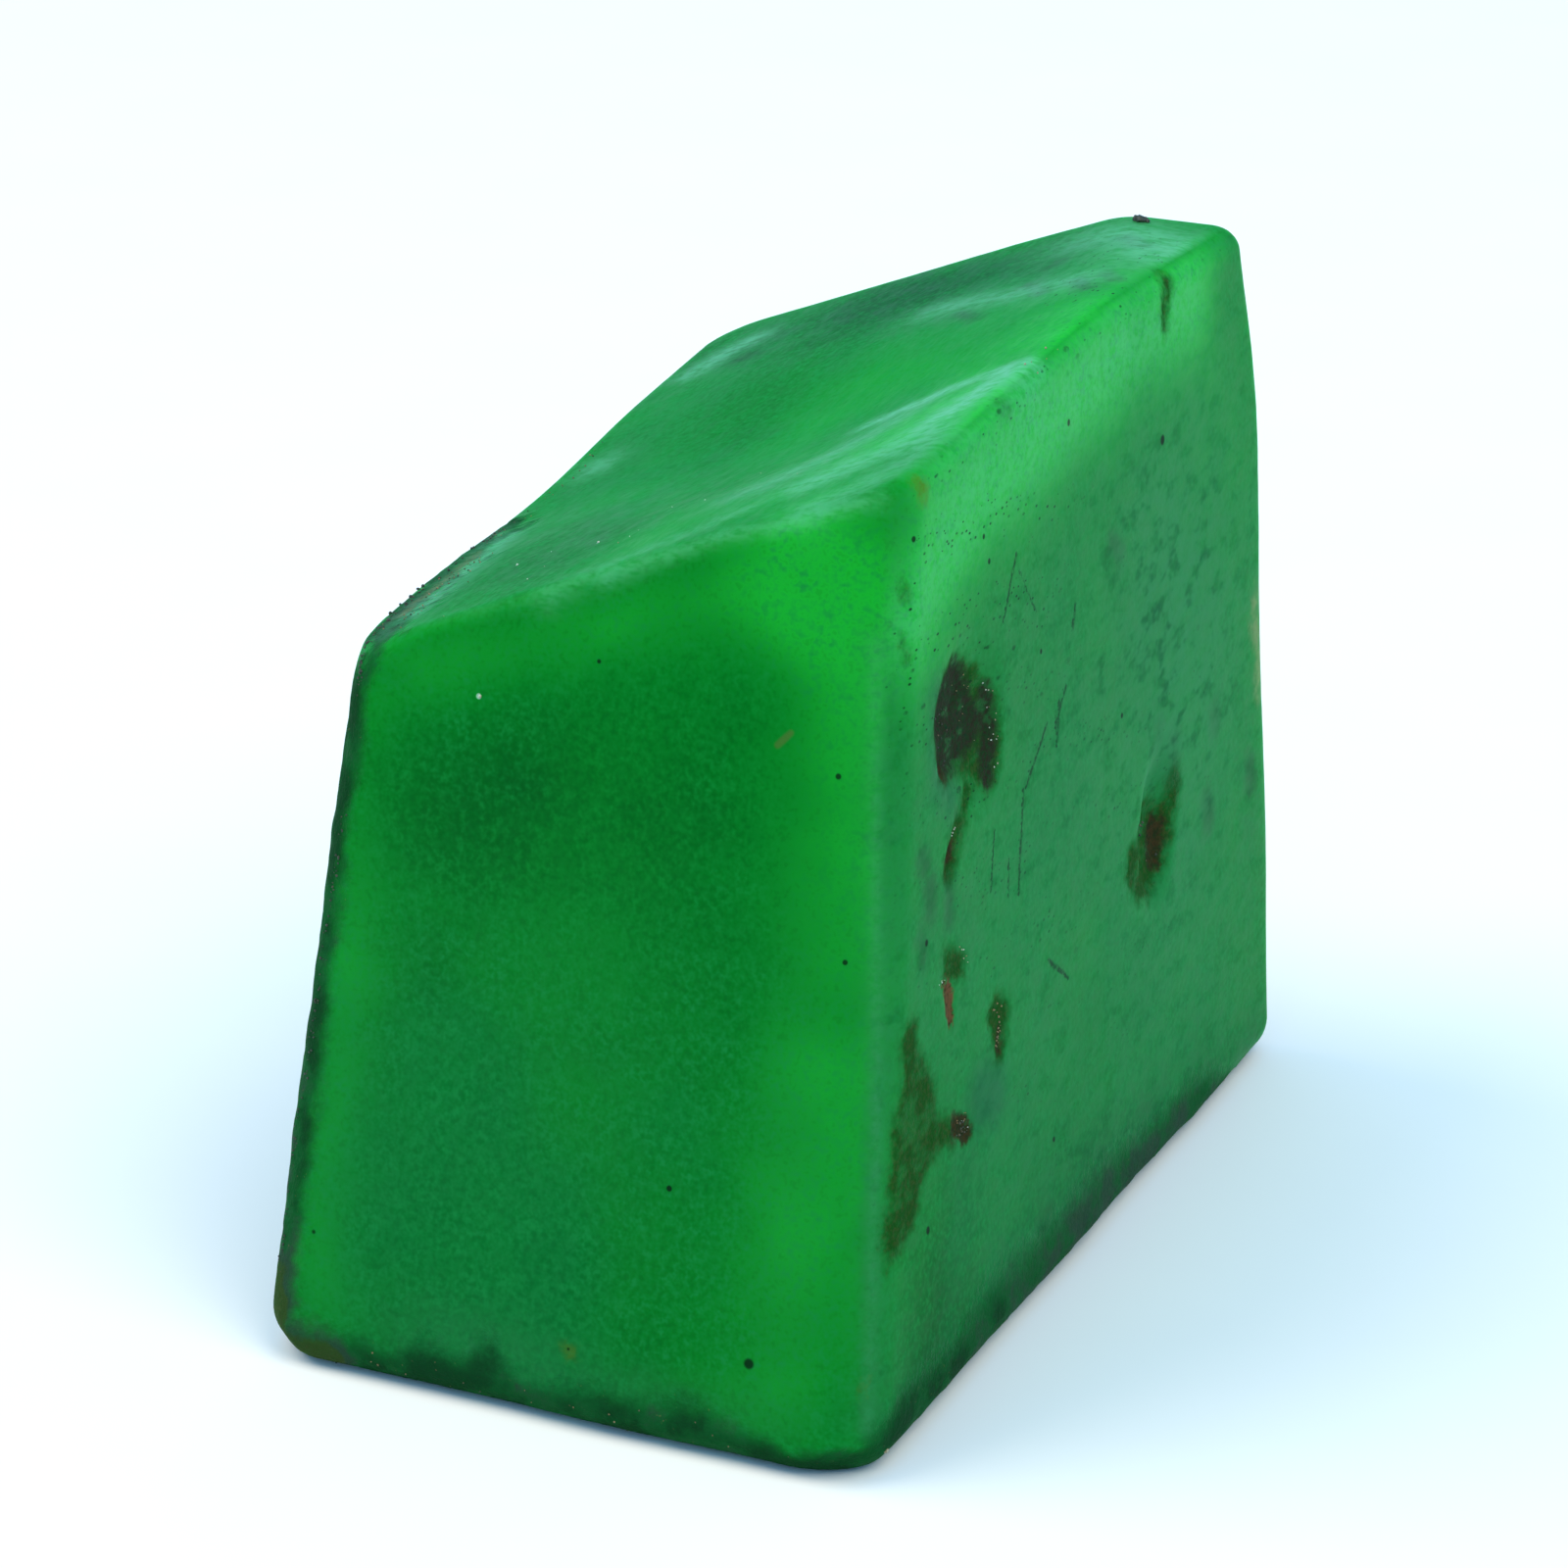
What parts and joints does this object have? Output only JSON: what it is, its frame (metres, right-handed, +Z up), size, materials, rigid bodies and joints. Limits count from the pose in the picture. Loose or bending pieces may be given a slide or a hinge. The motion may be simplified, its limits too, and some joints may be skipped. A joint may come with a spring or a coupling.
{
  "type": "raw emerald",
  "caption": "Block of cloudy green raw emerald with a sloping dished top, worn edges, a flat resting base and brown-stained pits in one wall.",
  "frame": {"origin": "centre of the bounding box's floor, on the flat resting base", "axes": "+X towards the pitted wall, +Y along the stone's length from the front wall to the back, +Z up"},
  "size_m": [0.0222, 0.0374, 0.031],
  "materials": {
    "emerald": "waxy, worn smooth, cloudy",
    "matrix": "dull, sandy grains of host rock"
  },
  "bodies": {
    "root": {"raw_emerald": "emerald"}
  },
  "joints": []
}
